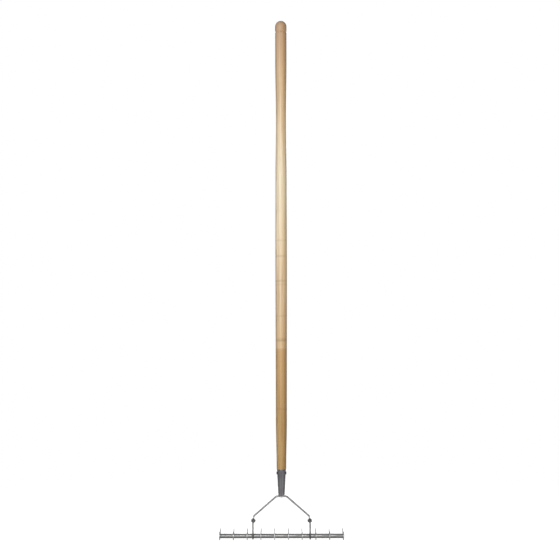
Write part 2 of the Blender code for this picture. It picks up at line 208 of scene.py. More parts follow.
def turn(profile, place, segments):
    """A turned shape. The profile holds (radius, along), where a radius may be a function of the angle."""
    work = bmesh.new()
    rings = []
    for radius, along in profile:
        if radius == 0:
            rings.append([work.verts.new(place(0, 0, along))])
            continue
        ring = []
        for i in range(segments):
            angle = 2 * math.pi * i / segments
            reach = radius(angle) if callable(radius) else radius
            ring.append(work.verts.new(place(reach, angle, along)))
        rings.append(ring)
    join_rings(work, rings)
    return work


def smooth_line(points, step):
    """Points along a Catmull-Rom curve through these, no further apart than the step."""
    first = 2 * points[0] - points[1]
    last = 2 * points[-1] - points[-2]
    chain = [first] + points + [last]
    line = [points[0]]
    for a, b, c, d in zip(chain, chain[1:], chain[2:], chain[3:]):
        count = max(2, math.ceil((c - b).length / step))
        for i in range(1, count + 1):
            t = i / count
            line.append(
                0.5 * (2 * b + (c - a) * t + (2 * a - 5 * b + 4 * c - d) * t * t)
                + 0.5 * (3 * b - a - 3 * c + d) * t * t * t
            )
    return line


def arc(centre, radius, start, end, step=math.radians(3)):
    """Points on an arc from one angle to another, both ends included."""
    count = max(2, math.ceil(abs(end - start) / step))
    angles = [start + (end - start) * i / count for i in range(count + 1)]
    return [centre + radius * Vector((math.cos(a), math.sin(a))) for a in angles]


def angle_of(vector):
    return math.atan2(vector.y, vector.x)


def eased(share):
    """From 0 to 1 with a soft start and end."""
    share = min(1.0, max(0.0, share))
    return share * share * (3 - 2 * share)


def rounded(work, width):
    """Rounds every edge where two faces meet at more than 30 degrees."""
    least = math.radians(30)
    edges = [e for e in work.edges if len(e.link_faces) == 2 and e.calc_face_angle() > least]
    bmesh.ops.bevel(
        work, geom=edges, offset=width, segments=3, profile=0.6, affect="EDGES", clamp_overlap=True
    )


def plate(outlines, low_x, high_x):
    """A flat piece between two values of X, from outlines in Y and Z: first its edge, then its holes."""
    work = bmesh.new()
    for points in outlines:
        loop = [work.verts.new((low_x, p.x, p.y)) for p in points]
        for a, b in zip(loop, loop[1:] + loop[:1]):
            work.edges.new((a, b))
    bmesh.ops.triangle_fill(work, use_beauty=True, edges=work.edges)
    made = bmesh.ops.extrude_face_region(work, geom=work.faces[:])
    moved = [v for v in made["geom"] if isinstance(v, bmesh.types.BMVert)]
    bmesh.ops.translate(work, verts=moved, vec=(high_x - low_x, 0, 0))
    bmesh.ops.recalc_face_normals(work, faces=work.faces)
    return work


# Node helpers


class Nodes:
    """A node tree, with short ways to add nodes to it."""

    def __init__(self, tree):
        self.tree = tree

    def node(self, kind, sockets, output=0, **settings):
        """A node with these sockets set or linked. Returns one of its outputs."""
        made = self.tree.nodes.new("ShaderNode" + kind)
        for key, value in settings.items():
            setattr(made, key, value)
        for key, value in sockets.items():
            if isinstance(value, bpy.types.NodeSocket):
                self.tree.links.new(value, made.inputs[key])
            else:
                made.inputs[key].default_value = value
        return made.outputs[output]

    def math(self, operation, first, second=0.0):
        return self.node("Math", {0: first, 1: second}, operation=operation)

    def axis(self, vector, index):
        """One coordinate of a vector, by its number."""
        return self.node("SeparateXYZ", {"Vector": vector}, index)

    def between(self, value, limits, results, how="LINEAR"):
        """Goes from one result to the other while the value goes from one limit to the other."""
        sockets = {"Value": value, "From Min": limits[0], "From Max": limits[1]}
        sockets.update({"To Min": results[0], "To Max": results[1]})
        return self.node("MapRange", sockets, interpolation_type=how)


class Surface(Nodes):
    """A Principled material and its nodes."""

    def __init__(self, name, metallic, roughness):
        self.material = bpy.data.materials.new(name)
        self.material.use_nodes = True
        super().__init__(self.material.node_tree)
        self.shader = self.tree.nodes["Principled BSDF"]
        self.shader.inputs["Metallic"].default_value = metallic
        self.shader.inputs["Roughness"].default_value = roughness
        self.place = self.tree.nodes.new("ShaderNodeTexCoord").outputs["Object"]

    def shader_input(self, name, value):
        self.tree.links.new(value, self.shader.inputs[name])

    def stretched(self, scale, tilt=(0, 0, 0), shift=(0, 0, 0)):
        """The place on the piece, scaled, tilted and shifted."""
        sockets = {"Vector": self.place, "Scale": scale, "Rotation": tilt, "Location": shift}
        return self.node("Mapping", sockets)

    def noise(self, scale, detail=3.0, roughness=0.5, tilt=(0, 0, 0)):
        """Noise from 0 to 1, with its own scale along each axis, in cells per metre."""
        sockets = {"Vector": self.stretched(scale, tilt), "Scale": 1.0}
        return self.node("TexNoise", {**sockets, "Detail": detail, "Roughness": roughness})

    def ramp(self, value, stops):
        """A ramp of (position, grey or colour)."""
        made = self.tree.nodes.new("ShaderNodeValToRGB")
        self.tree.links.new(value, made.inputs["Fac"])
        elements = made.color_ramp.elements
        while len(elements) < len(stops):
            elements.new(1.0)
        for element, (position, colour) in zip(elements, stops):
            element.position = position
            rgb = colour if isinstance(colour, tuple) else (colour,) * 3
            element.color = (*rgb, 1.0)
        return made.outputs["Color"]

    def mix(self, factor, first, second, blend="MIX"):
        made = self.tree.nodes.new("ShaderNodeMix")
        made.data_type = "RGBA"
        made.blend_type = blend
        for key, value in (("Factor", factor), ("A", first), ("B", second)):
            socket = [s for s in made.inputs if s.name == key and s.enabled][0]
            if isinstance(value, bpy.types.NodeSocket):
                self.tree.links.new(value, socket)
            elif isinstance(value, tuple):
                socket.default_value = (*value, 1.0)
            else:
                socket.default_value = value
        return [s for s in made.outputs if s.enabled][0]

    def bump(self, height, strength, distance):
        sockets = {"Height": height, "Strength": strength, "Distance": distance}
        self.shader_input("Normal", self.node("Bump", sockets))


def linear(red, green, blue):
    """A colour given in sRGB from 0 to 255, as the linear values that Blender's sockets hold."""
    shares = [c / 255 for c in (red, green, blue)]
    return tuple(s / 12.92 if s <= 0.04045 else ((s + 0.055) / 1.055) ** 2.4 for s in shares)


# Materials


def ash():
    """Turned ash: growth rings cut at a slant, open pores, and a tone that changes along the handle and
    across it, partly painted light.
    """
    wood = Surface("ash_wood", 0.0, 0.42)
    wobble = wood.math("MULTIPLY", wood.noise((14, 14, 3), 2.0), 5 * MM)
    height = wood.math("ADD", wood.axis(wood.place, 2), wobble)
    share = wood.between(height, (SOCKET_RIM.z, HANDLE_TOP.z), (0.0, 1.0))
    # The tone along and across the handle holds painted light as well as the wood's own tone.
    tone = wood.mix(1.0, tone_and_light_along(wood, share), tone_and_light_across(wood), "MULTIPLY")
    streaks = wood.noise((340, 340, 4.5), 4.0, 0.6)
    streak_tone = wood.ramp(
        streaks, [(0.30, (0.80, 0.74, 0.66)), (0.5, (1.0, 1.0, 1.0)), (0.72, (1.10, 1.09, 1.07))]
    )
    tone = wood.mix(1.0, tone, streak_tone, "MULTIPLY")
    rings = growth_rings(wood)
    ring_tone = wood.ramp(
        rings, [(0.0, (0.78, 0.70, 0.58)), (0.22, (0.93, 0.90, 0.85)), (0.7, (1.0, 1.0, 1.0))]
    )
    tone = wood.mix(0.8, tone, ring_tone, "MULTIPLY")
    pores = wood.ramp(wood.noise((1500, 1500, 38), 2.0), [(0.30, 1.0), (0.40, 0.0)])
    early_wood = wood.ramp(rings, [(0.0, 1.0), (0.35, 0.15)])
    pores = wood.math("MULTIPLY", pores, early_wood)
    tone = wood.mix(wood.math("MULTIPLY", pores, 0.55), tone, linear(120, 86, 54))
    tone = wood.mix(cross_lines(wood, share), tone, linear(128, 97, 66))
    wood.shader_input("Base Color", tone)
    wood.shader_input("Roughness", wood.ramp(streaks, [(0.3, 0.48), (0.7, 0.36)]))
    wood.shader.inputs["Coat Weight"].default_value = 0.25
    wood.shader.inputs["Coat Roughness"].default_value = 0.22
    relief = wood.math("MULTIPLY", streaks, 0.25)
    relief = wood.math("SUBTRACT", relief, wood.math("MULTIPLY", pores, 0.8))
    wood.bump(relief, 0.35, 0.15 * MM)
    return wood.material


def tone_and_light_along(wood, share):
    """The wood's tone from the socket's rim to the top, partly its own tone and partly painted light:
    brightest about two thirds of the way up and darker towards both ends, where less light falls. The
    darker dip at the foot ends in a step.
    """
    stops = [
        (0.0, linear(196, 163, 112)),
        (0.15, linear(201, 168, 118)),
        (0.2690, linear(206, 172, 126)),
        (0.2725, linear(226, 199, 160)),
        (0.29, linear(222, 195, 156)),
        (0.38, linear(232, 210, 178)),
        (0.50, linear(241, 224, 194)),
        (0.64, linear(246, 236, 210)),
        (0.76, linear(238, 219, 188)),
        (0.87, linear(224, 198, 163)),
        (0.94, linear(213, 183, 150)),
        (1.0, linear(205, 177, 150)),
    ]
    return wood.ramp(share, stops)


def tone_and_light_across(wood):
    """Broad bands from side to side, partly the wood's own pink and ochre tints and partly painted light: a
    painted sheen just left of the middle and painted shade towards +X.
    """
    drift = wood.math("MULTIPLY", wood.noise((70, 70, 3.2), 4.0, 0.6), 0.95)
    # Set by X, not by the grain: the bright stop is a painted sheen, and the dark end is painted shade as
    # well as an ochre tint.
    bands_and_light_across = wood.math("ADD", wood.math("MULTIPLY", wood.axis(wood.place, 0), 26.0), drift)
    stops = [
        (0.0, (0.88, 0.83, 0.80)),
        (0.36, (1.07, 1.05, 1.04)),
        (0.55, (0.98, 0.92, 0.85)),
        (0.85, (0.82, 0.73, 0.58)),
    ]
    return wood.ramp(bands_and_light_across, stops)


def growth_rings(wood):
    """Rings round an axis outside the pole that leans a little, from early wood at 0 to late wood at 1."""
    lean = (math.radians(1.2), math.radians(-0.9), 0)
    pith = (0.062, 0.034, 0)
    sockets = {"Vector": wood.stretched((1, 1, 1), lean, pith), "Scale": 115.0}
    sockets.update({"Distortion": 2.2, "Detail": 2.0, "Detail Scale": 0.35})
    return wood.node("TexWave", sockets, wave_type="RINGS", rings_direction="Z", wave_profile="SAW")


def cross_lines(wood, share):
    """How strongly the faint lines across the grain show. They fade in and out around the handle.

    Each is (place, half width, strength), where the first two are shares of the wood's length.
    """
    lines = (
        (0.127, 0.0016, 0.55),
        (0.136, 0.0020, 0.35),
        (0.290, 0.0045, 0.45),
        (0.3425, 0.0017, 0.75),
        (0.4130, 0.0016, 0.50),
        (0.4220, 0.0018, 0.40),
        (0.4765, 0.0020, 0.20),
        (0.512, 0.0030, 0.14),
    )
    stops = [(0.0, 0.0)]
    for middle, half, strength in lines:
        stops += [(middle - half, 0.0), (middle, strength), (middle + half, 0.0)]
    shown = wood.ramp(wood.noise((45, 45, 20), 2.0), [(0.35, 0.6), (0.6, 1.0)])
    return wood.math("MULTIPLY", wood.ramp(share, stops), shown)


def plated(name, dark, bright, roughness):
    """Plated steel: two tints that drift into each other, dark specks and fine scuffs."""
    metal = Surface(name, 1.0, roughness)
    drift = metal.noise((45, 45, 45), 4.0, 0.6)
    tone = metal.mix(metal.ramp(drift, [(0.35, 0.0), (0.65, 1.0)]), dark, bright)
    specks = metal.noise((900, 900, 900), 2.0)
    tone = metal.mix(metal.ramp(specks, [(0.62, 0.0), (0.75, 0.35)]), tone, (0.10, 0.10, 0.10))
    metal.shader_input("Base Color", tone)
    haze = metal.noise((160, 160, 160), 5.0, 0.65)
    metal.shader_input("Roughness", metal.ramp(haze, [(0.3, roughness - 0.07), (0.7, roughness + 0.12)]))
    scuffs = metal.noise((60, 2200, 900), 2.0, 0.5, (0.3, 0.2, 0.5))
    metal.bump(metal.math("ADD", metal.math("MULTIPLY", scuffs, 0.5), haze), 0.12, 0.05 * MM)
    return metal.material


def stainless(name, cells, dark, bright, roughness):
    """Stainless sheet with the lines that brushing, grinding or stamping left."""
    smooth, rough = roughness
    metal = Surface(name, 1.0, rough)
    lines = metal.noise(cells, 3.0, 0.6)
    tone = metal.mix(lines, dark, bright)
    soil = metal.noise((120, 120, 120), 5.0, 0.65)
    tone = metal.mix(metal.ramp(soil, [(0.58, 0.0), (0.78, 0.30)]), tone, (0.22, 0.20, 0.17))
    metal.shader_input("Base Color", tone)
    metal.shader_input("Roughness", metal.ramp(lines, [(0.3, smooth), (0.7, rough)]))
    metal.bump(lines, 0.18, 0.04 * MM)
    return metal.material


def socket_paint():
    """Dark grey metallic paint with a fine leathery skin, lightly scratched and rubbed at the rim."""
    paint = Surface("socket_paint", 0.95, 0.3)
    skin = paint.noise((420, 420, 420), 3.0, 0.5)
    patches = paint.ramp(paint.noise((55, 55, 30), 3.0, 0.55), [(0.35, 0.0), (0.65, 1.0)])
    tone = paint.mix(patches, (0.27, 0.26, 0.275), (0.345, 0.335, 0.35))
    rim = paint.between(paint.axis(paint.place, 2), (SOCKET_RIM.z - 2.5 * MM, SOCKET_RIM.z), (0.0, 0.62))
    rubbed = paint.math("ADD", rim, paint.math("MULTIPLY", skin, 0.5))
    rubbed = paint.math("MULTIPLY", paint.ramp(rubbed, [(0.72, 0.0), (0.80, 1.0)]), 0.8)
    tone = paint.mix(rubbed, tone, (0.34, 0.34, 0.34))
    scratches = paint.noise((1500, 1500, 70), 2.0, 0.5, (0.1, 0.15, 0))
    scratches = paint.ramp(scratches, [(0.68, 0.0), (0.74, 0.35)])
    tone = paint.mix(scratches, tone, (0.30, 0.30, 0.30))
    paint.shader_input("Base Color", tone)
    paint.shader_input("Roughness", paint.ramp(skin, [(0.3, 0.15), (0.7, 0.25)]))
    paint.bump(skin, 0.25, 0.12 * MM)
    return paint.material


# Handle, socket and rivet


def cad_rings(node):
    """(radius, height) of a node turned about Z, from its top down."""
    reach = {}
    for vertex in frame["nodes"][node].data.vertices:
        height = round(vertex.co.z, 5)
        reach[height] = max(reach.get(height, 0.0), vertex.co.xy.length)
    return [Vector((reach[height], height)) for height in sorted(reach, reverse=True)]


def make_handle():
    """The turned outside follows the frame's rings, and a plain spigot goes down inside the socket.

    The dome, the groove and the shaft are smoothed one by one, so that the groove keeps its two lips. The
    dome's line starts on the far side of the axis, so that it crosses the axis level.
    """
    arris = 0.8 * MM
    rings = cad_rings("handle")
    outside = [p for p in rings if p.y > SOCKET_RIM.z + arris]
    shoulder = [p for p in rings if p.y > SOCKET_RIM.z][-1]
    foot = rings[-1]
    groove = HANDLE_TOP.z - GROOVE_BELOW_TOP
    lips = [
        min(range(len(outside)), key=lambda i: abs(outside[i].y - height))
        for height in (groove + GROOVE_HALF_WIDTH, groove - GROOVE_HALF_WIDTH)
    ]
    far_side = Vector((-outside[1].x, outside[1].y))
    dome = smooth_line([far_side] + outside[: lips[0] + 1], 2 * MM)
    start = min(range(len(dome)), key=lambda i: (dome[i] - outside[0]).length)
    line = dome[start + 1 :]
    line += smooth_line(outside[lips[0] : lips[1] + 1], 0.5 * MM)[1:]
    line += smooth_line(outside[lips[1] :], 5 * MM)[1:]
    profile = [(0, outside[0].y)] + [(p.x, p.y) for p in line]
    corner = Vector((shoulder.x - arris, shoulder.y + arris))
    profile += [(p.x, p.y) for p in arc(corner, arris, 0, -math.pi / 2, math.radians(15))]
    spigot = SOCKET_RIM.x - SOCKET_WALL - HOLE_CLEARANCE
    profile += [(spigot, shoulder.y), (foot.x, foot.y), (0, foot.y)]
    work = turn(profile, about_z, 96)
    add_piece("handle_ash", work, [ash()], "ash", ROOT, "handle")


def make_socket(paint):
    """A tapered tube with a rounded rim and foot, closed below the wood."""
    top, foot = SOCKET_RIM.z, SOCKET_FOOT.z
    rings = cad_rings("socket")
    foot_radius = max(p.x for p in rings if p.y < foot + 2 * MM)
    top_radius = SOCKET_RIM.x
    lip = SOCKET_WALL / 2
    slope = (top_radius - foot_radius) / (top - foot)
    bore_depth = 60 * MM
    bore_foot = top_radius - SOCKET_WALL - slope * bore_depth
    corner = 1.2 * MM
    profile = [(0, top - bore_depth), (bore_foot, top - bore_depth), (top_radius - SOCKET_WALL, top - lip)]
    rim = Vector((top_radius - lip, top - lip))
    profile += [(p.x, p.y) for p in arc(rim, lip, math.pi, 0, math.radians(20))]
    steps = 14
    for i in range(1, steps):
        height = top - lip + (foot + corner - top + lip) * i / steps
        profile.append((top_radius - slope * (top - height), height))
    low = Vector((foot_radius - corner, foot + corner))
    profile += [(p.x, p.y) for p in arc(low, corner, 0, -math.pi / 2, math.radians(15))]
    profile += [(foot_radius * 0.5, foot), (0, foot)]
    add_piece("socket_shell", turn(profile, about_z, 96), [paint], "grey_paint", ROOT, "socket")


def make_rivet(metal):
    """Two hammered domes on a shank. A slight flat on each crown shows where it was set."""
    crown = RIVET_HIGH.x
    seat = crown - 2.6 * MM
    flat = 1.3 * MM
    round_from = crown - 0.1 * MM
    half = [(0, crown - 0.12 * MM), (flat, round_from)]
    for i in range(1, 9):
        angle = math.radians(90) * i / 8
        reach = flat + (RIVET_HEAD_RADIUS - flat) * math.sin(angle)
        half.append((dented(reach), round_from - 1.45 * MM * (1 - math.cos(angle))))
    half += [(RIVET_HEAD_RADIUS - 0.1 * MM, seat), (RIVET_RADIUS, seat)]
    profile = half + [(radius, -along) for radius, along in reversed(half)]
    work = turn(profile, about_x(RIVET_Z), 48)
    add_piece("socket_rivet_domed", work, [metal], "zinc", ROOT, "socket_rivet")


def dented(radius):
    """A radius that wanders a little round the circle, as a hammered head's does."""

    def reach(angle):
        spot = Vector((2.2 * math.cos(angle), 2.2 * math.sin(angle), radius * 900))
        return radius * (1 + 0.018 * noise.noise(spot))

    return reach


# Bow


def bend(before, corner, after, radius):
    """Points round a corner of a path, on an arc of this radius."""
    inward = (before - corner).normalized()
    outward = (after - corner).normalized()
    half = inward.angle(outward) / 2
    centre = corner + (inward + outward).normalized() * (radius / math.sin(half))
    first = corner + inward * (radius / math.tan(half)) - centre
    last = corner + outward * (radius / math.tan(half)) - centre
    start = angle_of(first)
    return arc(centre, radius, start, start - first.angle_signed(last), math.radians(4))


def bow_half():
    """Sections of the wire's right half, from the middle of the top to the bottom of the eye.

    Each is (centre in X and Z, half thickness in the bow's plane, half width across it, squareness).
    """
    wire_x = BOW_TOP.x - WIRE_RADIUS
    top_z = BOW_TOP.z - WIRE_RADIUS
    eye_low_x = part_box("pivot_nut_right")[1].x
    eye_high_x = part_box("bracket_right")[0].x
    eye_x = (eye_low_x + eye_high_x) / 2
    eye_half = (eye_high_x - eye_low_x) / 2 - EYE_CLEARANCE
    eye_radius = BOW_TOP.y
    flat_from = PIVOT_Z + eye_radius + FLATTENED_OVER
    path = [Vector((0, top_z))]
    shoulder = Vector((BOW_TOP_HALF, top_z))
    elbow = Vector((wire_x, PIVOT_Z + BOW_CORNER_RISE))
    path += bend(path[0], shoulder, elbow, BOW_TOP_BEND)
    path += bend(shoulder, elbow, Vector((wire_x, PIVOT_Z)), BOW_LOW_BEND)
    line = [path[0]]
    for a, b in zip(path, path[1:]):
        count = max(1, math.ceil((b - a).length / (2 * MM)))
        line += [a.lerp(b, (i + 1) / count) for i in range(count)]
    straight_from = line[-1].y
    steps = 44
    for i in range(1, steps + 1):
        fall = (straight_from - PIVOT_Z + eye_radius) * math.sin(math.pi / 2 * i / steps)
        line.append(Vector((wire_x, straight_from - fall)))
    sections = []
    for centre in line:
        above = centre.y - PIVOT_Z
        share = eased((flat_from - centre.y) / FLATTENED_OVER)
        centre = centre + Vector(((eye_x - wire_x) * share, 0))
        ring = math.sqrt(max(0.0, eye_radius**2 - above**2))
        tongue = WIRE_RADIUS + (TONGUE_HALF_WIDTH - WIRE_RADIUS) * share if above > 0 else 0.0
        width = (ring**6 + tongue**6) ** (1 / 6)
        thickness = WIRE_RADIUS + (eye_half - WIRE_RADIUS) * share
        sections.append((centre, thickness, min(width, eye_radius), 2.0 + 2.5 * share))
    centre, thickness, _, squareness = sections[-1]
    sections[-1] = (centre, thickness, 0.0, squareness)
    return sections


def section_ring(work, previous, section, following):
    """Vertices of one section, square to the path through its neighbours."""
    count = 40
    centre, thickness, width, squareness = section
    along = (following - previous).normalized()
    across = Vector((along.y, -along.x))
    ring = []
    for i in range(count):
        angle = 2 * math.pi * i / count
        cosine, sine = math.cos(angle), math.sin(angle)
        u = math.copysign(abs(cosine) ** (2 / squareness), cosine) * thickness
        v = math.copysign(abs(sine) ** (2 / squareness), sine) * width
        ring.append(work.verts.new((centre.x + across.x * u, v, centre.y + across.y * u)))
    return ring


def make_bow(metal):
    """One bent wire, hammered flat into an eye at each end, with the holes for the pivot bolts."""
    right = bow_half()
    left = [(Vector((-c.x, c.y)), t, w, s) for c, t, w, s in reversed(right)]
    sections = left[:-1] + right
    centres = [s[0] for s in sections]
    work = bmesh.new()
    rings = []
    for i, section in enumerate(sections):
        previous = centres[max(0, i - 1)]
        following = centres[min(len(centres) - 1, i + 1)]
        rings.append(section_ring(work, previous, section, following))
    join_rings(work, rings)
    work.faces.new(rings[0])
    work.faces.new(rings[-1])
    bmesh.ops.remove_doubles(work, verts=work.verts, dist=1e-6)
    bow = add_piece("bow_wire", work, [metal], "zinc", ROOT, "bow")
    reach = BOLT_RADIUS + HOLE_CLEARANCE
    start, end = BOW_TOP.x + MM, BOW_TOP.x - 12 * MM
    for side in (-1, 1):
        drill = turn([(0, start), (reach, start), (reach, end), (0, end)], about_x(PIVOT_Z, side), 48)
        cut_away(bow, drill)


def cut_away(obj, work):
    """Takes a closed shape out of a piece."""
    bmesh.ops.recalc_face_normals(work, faces=work.faces)
    mesh = bpy.data.meshes.new("drill")
    work.to_mesh(mesh)
    work.free()
    cutter = bpy.data.objects.new("drill", mesh)
    bpy.context.scene.collection.objects.link(cutter)
    modifier = obj.modifiers.new("drill", "BOOLEAN")
    modifier.object = cutter
    modifier.operation = "DIFFERENCE"
    bpy.context.view_layer.update()
    graph = bpy.context.evaluated_depsgraph_get()
    cut = bpy.data.meshes.new_from_object(obj.evaluated_get(graph))
    obj.modifiers.clear()
    cut.name = obj.data.name
    obj.data = cut
    cut.shade_smooth()
    cut.set_sharp_from_angle(angle=SHARP)
    bpy.data.objects.remove(cutter)


def make_weld(metal):
    """A rippled bead that holds the wire under the socket's foot."""
    middle = BOW_TOP.z - WELD_RADIUS + 0.1 * MM
    profile = [(0, WELD_HALF_LENGTH)]
    steps = 44
    for i in range(1, steps):
        angle = math.pi * i / steps
        along = WELD_HALF_LENGTH * math.cos(angle)
        ripple = 1 + 0.035 * math.sin(along / WELD_RIPPLE)
        profile.append((weld_radius(WELD_RADIUS * math.sin(angle) ** 0.8 * ripple, along), along))
    profile.append((0, -WELD_HALF_LENGTH))
    work = turn(profile, about_x(middle), 48)
    for vertex in work.verts:
        vertex.co.z = min(vertex.co.z, BOW_TOP.z)
    add_piece("bow_weld", work, [metal], "zinc", ROOT)


def weld_radius(radius, along):
    """Uneven, as a bead laid by hand."""

    def reach(angle):
        spot = Vector((along * 260, math.cos(angle) * 1.3, math.sin(angle) * 1.3))
        return radius * (0.95 + 0.10 * noise.noise(spot))

    return reach


# Pivot bolts and nuts


def hexagon(across, cone):
    """A hexagon's radius at each angle, cut back to this cone's radius by the chamfer."""

    def reach(angle):
        flat = (angle + math.pi / 6) % (math.pi / 3) - math.pi / 6
        return min(across / 2 / math.cos(flat), cone)

    return reach


def chamfered(across, inner, outer, both=False):
    """Profile of a hexagon from its outer face to its inner face, corners chamfered at 30 degrees."""
    corner = across / math.sqrt(3)
    face = across / 2 * HEX_FACE
    depth = (corner - face) * math.tan(math.radians(30))
    steps = 8
    profile = []
    for i in range(steps + 1):
        share = i / steps
        profile.append((hexagon(across, face + (corner - face) * share), outer - depth * share))
    if not both:
        return profile + [(hexagon(across, corner), inner)]
    for i in range(steps + 1):
        share = 1 - i / steps
        profile.append((hexagon(across, face + (corner - face) * share), inner + depth * share))
    return profile


def thread(along, start):
    """The radius of a screw thread at each angle, this far along it."""

    def reach(angle):
        phase = ((along - start) / THREAD_PITCH + angle / (2 * math.pi)) % 1.0
        return BOLT_RADIUS - THREAD_DEPTH * abs(2 * phase - 1)

    return reach


def reach_along_x(box):
    """How far from the rake's middle a box on one side starts and ends."""
    return sorted(abs(corner.x) for corner in box)


def make_bolt(side, word, metal):
    """A bolt with a dished head on a washer face, its thread cut from inside the nut to its end."""
    node = f"pivot_bolt_{word}"
    end, outer = reach_along_x(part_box(node))
    seat = reach_along_x(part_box(f"bracket_{word}"))[1] + SEAT_GAP
    washer_face = seat + 0.2 * MM
    dish = 0.25 * MM
    face = BOLT_HEX / 2 * HEX_FACE
    profile = [(0, outer - dish), (face - 1.1 * MM, outer - dish), (face - 0.5 * MM, outer)]
    profile += chamfered(BOLT_HEX, washer_face, outer)
    profile += [(face, washer_face), (face, seat), (BOLT_RADIUS, seat)]
    thread_start = reach_along_x(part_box(f"pivot_nut_{word}"))[0] + THREAD_INSIDE_NUT
    profile.append((BOLT_RADIUS, thread_start))
    steps = max(8, math.ceil((thread_start - end) / (THREAD_PITCH / 8)))
    for i in range(1, steps):
        along = thread_start + (end + 0.15 * MM - thread_start) * i / steps
        profile.append((thread(along, thread_start), along))
    profile += [(BOLT_RADIUS - THREAD_DEPTH - 0.1 * MM, end), (0, end)]
    work = turn(profile, about_x(PIVOT_Z, side), 72)
    flat_shaded_faces(add_piece(f"{node}_hex", work, [metal], "dark_zinc", ROOT, node))


def make_nut(side, word, metal):
    """A nut chamfered on both faces, its bore countersunk."""
    node = f"pivot_nut_{word}"
    inner, outer = reach_along_x(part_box(node))
    bore = BOLT_RADIUS + 0.1 * MM
    sink = 0.35 * MM
    profile = [(bore, outer - sink), (bore + sink, outer)]
    profile += chamfered(BOLT_HEX, inner, outer, both=True)
    profile += [(bore + sink, inner), (bore, inner + sink), (bore, outer - sink)]
    work = turn(profile, about_x(PIVOT_Z, side), 72)
    bmesh.ops.remove_doubles(work, verts=work.verts, dist=1e-7)
    flat_shaded_faces(add_piece(f"{node}_hex", work, [metal], "dark_zinc", ROOT, node))


# Head


def circle(centre, radius, count):
    return arc(centre, radius, 0, 2 * math.pi, 2 * math.pi / count)[:-1]


def square_hole():
    """The corners, in Y and Z, of the hole that the rod goes through."""
    half = ROD_SIDE / 2 + HOLE_CLEARANCE
    return [Vector((y * half, ROD_Z + z * half)) for y, z in ((1, 1), (-1, 1), (-1, -1), (1, -1))]


def make_bracket(word, metal):
    """A stamped link, its edges rounded by tumbling."""
    node = f"bracket_{word}"
    low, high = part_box(node)
    top = Vector((0, PIVOT_Z))
    foot = Vector((0, ROD_Z))
    top_radius = high.z - PIVOT_Z
    foot_radius = ROD_Z - low.z
    lean = math.asin((foot_radius - top_radius) / (PIVOT_Z - ROD_Z))
    outline = arc(top, top_radius, lean, math.pi - lean)
    outline += arc(foot, foot_radius, math.pi - lean, 2 * math.pi + lean)
    hole = circle(top, BOLT_RADIUS + HOLE_CLEARANCE, 40)
    work = plate([outline, hole, square_hole()], low.x, high.x)
    rounded(work, BRACKET_ROUNDING)
    flat_shaded_faces(add_piece(f"{node}_link", work, [metal], "zinc", HEAD, node))


def blade_curves(low, high):
    """The blade's outer edge from the hub to the tip, and the rest of its outline back to the start."""
    hub_radius = -low.y
    drop = ROD_Z - low.z
    belly = drop - hub_radius
    tip = Vector((high.y, TIP_RISE))
    rise = tip.y + drop
    below_hub = hub_radius + drop
    square_term = 1 - rise / belly
    constant = tip.x**2 + rise**2 - below_hub * rise
    reach = (tip.x - math.sqrt(tip.x**2 - square_term * constant)) / square_term
    sweep_radius = (reach**2 / belly + below_hub) / 2
    sweep = Vector((reach, sweep_radius - drop))
    run = tip.x - HOLLOW_REACH
    climb = tip.y - HOLLOW_RISE
    hollow_radius = (run * run + climb * climb) / (2 * climb)
    hollow = Vector((HOLLOW_REACH, HOLLOW_RISE + hollow_radius))
    gap = hollow.length
    fillet_reach = hub_radius + HUB_FILLET
    along = (gap**2 + fillet_reach**2 - (hollow_radius - HUB_FILLET) ** 2) / (2 * gap)
    across = math.sqrt(fillet_reach**2 - along**2)
    way = hollow.normalized()
    fillet = way * along + Vector((way.y, -way.x)) * across
    full = 2 * math.pi
    outer = arc(sweep, sweep_radius, angle_of(-sweep), angle_of(tip - sweep), math.radians(1.5))
    inner = arc(hollow, hollow_radius, angle_of(tip - hollow), angle_of(fillet - hollow), math.radians(1.5))
    start = angle_of(fillet - hollow) % full - full
    inner += arc(fillet, HUB_FILLET, start, angle_of(fillet) - math.pi, math.radians(6))[1:]
    around = arc(Vector((0, 0)), hub_radius, angle_of(fillet), angle_of(-sweep) + full, math.radians(4))
    return outer, inner[1:], around[1:-1]


def grinding(i, outer, inner, outline):
    """A point's way into the blade, how far it is ground there, from 0 to 1, and the room for that."""
    point, tip = outline[i], outer[-1]
    before, after = outline[i - 1], outline[(i + 1) % len(outline)]
    along = (after - before).normalized()
    inward = Vector((-along.y, along.x))
    from_tip = (point - tip).length
    if i == len(outer) - 1:
        return (before + after - 2 * point).normalized(), 1.0, 0.8 * MM
    if i < len(outer):
        opposite = inner[: len(inner) * 3 // 4] + [tip]
        return inward, eased(1.25 * i / len(outer)), 0.62 * min((point - p).length for p in opposite)
    ground = eased(1 - from_tip / (9 * MM)) if i < len(outer) + len(inner) else 0.0
    return inward, ground, 0.30 * from_tip


